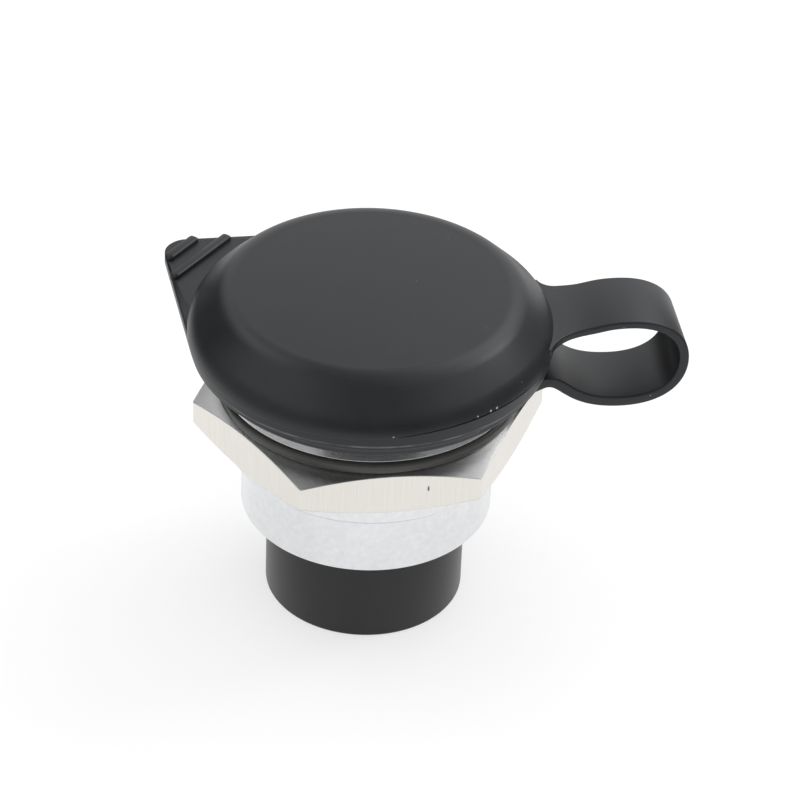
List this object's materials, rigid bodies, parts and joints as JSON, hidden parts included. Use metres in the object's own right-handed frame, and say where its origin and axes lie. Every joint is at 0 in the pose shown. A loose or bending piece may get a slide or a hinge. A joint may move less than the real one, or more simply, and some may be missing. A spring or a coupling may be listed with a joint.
{
  "type": "usb-c panel mount adapter",
  "caption": "Round panel mount adapter: a threaded metal housing with a socket at each end, a hexagon panel nut and a rubber cap on a looped strap.",
  "frame": {"origin": "centre of the rear face, on the axis of the housing", "axes": "+Z along the axis from the rear socket to the front socket, +X towards the loop of the strap"},
  "size_m": [0.0395, 0.0284, 0.0281],
  "materials": {
    "plated_zinc": "bright plated",
    "nut_metal": "satin, sawn flats",
    "black_plastic": "satin",
    "rubber": "matte",
    "shell_steel": "satin",
    "tongue_plastic": "matte",
    "contact_gold": "plated",
    "board": "satin"
  },
  "bodies": {
    "adapter": {"housing": "plated_zinc", "rear_body": "black_plastic", "front_insert": "black_plastic", "circuit_board": "board", "front_port_shell": "shell_steel", "rear_port_shell": "shell_steel", "front_mid_plate": "shell_steel", "rear_mid_plate": "shell_steel", "front_tongue": "tongue_plastic", "rear_tongue": "tongue_plastic", "front_contacts_a": "contact_gold", "front_contacts_b": "contact_gold", "rear_contacts_a": "contact_gold", "rear_contacts_b": "contact_gold", "tether": "rubber"},
    "cap": {"cap": "rubber"},
    "nut": {"panel_nut": "nut_metal"}
  },
  "joints": [
    {"name": "cap_hinge", "type": "hinge", "parent": "adapter", "child": "cap", "pos_m": [0.0252, 0, 0.0218], "axis": [0, 1, 0], "range_deg": [0, 150], "deforming": ["tether"]},
    {"name": "nut_slide", "type": "slide", "parent": "adapter", "child": "nut", "axis": [0, 0, -1], "range_m": [0, 0.0055]}
  ]
}
